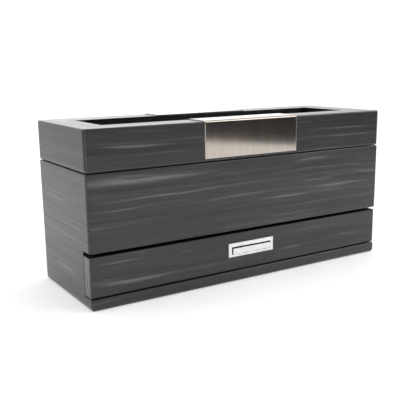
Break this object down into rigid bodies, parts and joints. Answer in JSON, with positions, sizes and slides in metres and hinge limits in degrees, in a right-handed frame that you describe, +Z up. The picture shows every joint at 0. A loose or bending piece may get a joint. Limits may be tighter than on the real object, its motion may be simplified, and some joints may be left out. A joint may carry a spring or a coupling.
{
  "type": "watch box with drawer",
  "caption": "Long veneered watch box with a glazed hinged lid over a row of cushioned cells, and a full-width drawer below with a small metal pull.",
  "frame": {"origin": "middle of the underside, on the surface the box stands on, below the centre of the case", "axes": "+X along the front towards the right as seen from the front, +Y from the front to the back, +Z up"},
  "size_m": [0.34, 0.1234, 0.1589],
  "materials": {
    "grey_oak_veneer": "dark grey stained oak grain, satin lacquer",
    "black_board": "black painted fibreboard",
    "brushed_steel_plate": "brushed along the plate's height",
    "polished_pull": "polished",
    "plated_steel": "nickel plated",
    "clear_glass": "clear",
    "cushion_fabric": "black velvet over foam",
    "felt": "black felt",
    "velvet": "black velvet"
  },
  "bodies": {
    "case": {"back_panel": "grey_oak_veneer", "base_board": "black_board", "base_felt": "felt", "divider_1": "velvet", "divider_2": "velvet", "divider_3": "velvet", "divider_4": "velvet", "drawer_guide_left": "black_board", "drawer_guide_right": "black_board", "drawer_stop": "black_board", "floor_pad": "velvet", "front_panel": "grey_oak_veneer", "hinge_case_screws": "plated_steel", "hinge_left_case_leaf": "plated_steel", "hinge_left_pin": "plated_steel", "hinge_right_case_leaf": "plated_steel", "hinge_right_pin": "plated_steel", "plinth_rail": "grey_oak_veneer", "shelf": "black_board", "side_panel_left": "grey_oak_veneer", "side_panel_right": "grey_oak_veneer", "wall_lining_back": "velvet", "wall_lining_front": "velvet", "wall_lining_left": "velvet", "wall_lining_right": "velvet", "watch_cushion_1": "cushion_fabric", "watch_cushion_2": "cushion_fabric", "watch_cushion_3": "cushion_fabric", "watch_cushion_4": "cushion_fabric", "watch_cushion_5": "cushion_fabric"},
    "lid": {"back_plate": "brushed_steel_plate", "front_plate": "brushed_steel_plate", "glass_bead_back": "black_board", "glass_bead_front": "black_board", "glass_bead_left": "black_board", "glass_bead_right": "black_board", "hinge_left_lid_leaf": "plated_steel", "hinge_lid_screws": "plated_steel", "hinge_right_lid_leaf": "plated_steel", "lid_glass": "clear_glass", "lid_lining_back": "velvet", "lid_lining_front": "velvet", "lid_lining_left": "velvet", "lid_lining_right": "velvet", "lid_rail_back": "grey_oak_veneer", "lid_rail_front": "grey_oak_veneer", "lid_rail_left": "grey_oak_veneer", "lid_rail_right": "grey_oak_veneer"},
    "drawer": {"drawer_back": "black_board", "drawer_bottom": "black_board", "drawer_front": "grey_oak_veneer", "drawer_pad": "velvet", "drawer_side_left": "black_board", "drawer_side_right": "black_board", "pull_frame": "polished_pull", "pull_plate": "polished_pull", "pull_screws": "plated_steel"}
  },
  "joints": [
    {"name": "lid_hinge", "type": "hinge", "parent": "case", "child": "lid", "pos_m": [0, 0.0613, 0.12055], "axis": [-1, 0, 0], "range_deg": [0, 95]},
    {"name": "drawer_slide", "type": "slide", "parent": "case", "child": "drawer", "axis": [0, -1, 0], "range_m": [0, 0.07]}
  ]
}
